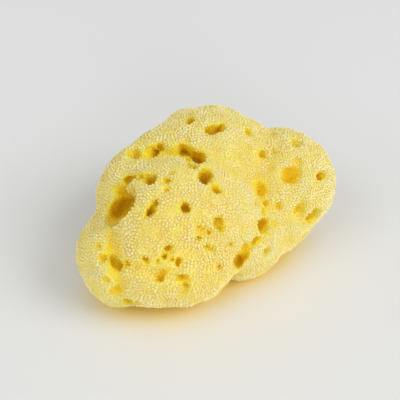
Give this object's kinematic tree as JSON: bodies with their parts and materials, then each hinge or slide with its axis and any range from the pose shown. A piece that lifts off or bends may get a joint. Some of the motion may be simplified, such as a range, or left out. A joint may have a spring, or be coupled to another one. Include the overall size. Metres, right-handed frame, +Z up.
{
  "type": "sea sponge",
  "caption": "Dried natural bath sponge: a lumpy rounded body with creases between its lobes and round holes sunk in it, resting on its flat cut.",
  "frame": {"origin": "middle of the bounding box, on the plane of the flat cut that the sponge rests on", "axes": "+X along the length towards the overhanging tail lobe, -Y towards the front with the large dome, +Z up from the flat cut"},
  "size_m": [0.1032, 0.071, 0.0546],
  "materials": {
    "sponge_fibre": "matte, dry and fibrous: cream tips over golden yellow"
  },
  "bodies": {
    "root": {"sponge": "sponge_fibre"}
  },
  "joints": []
}
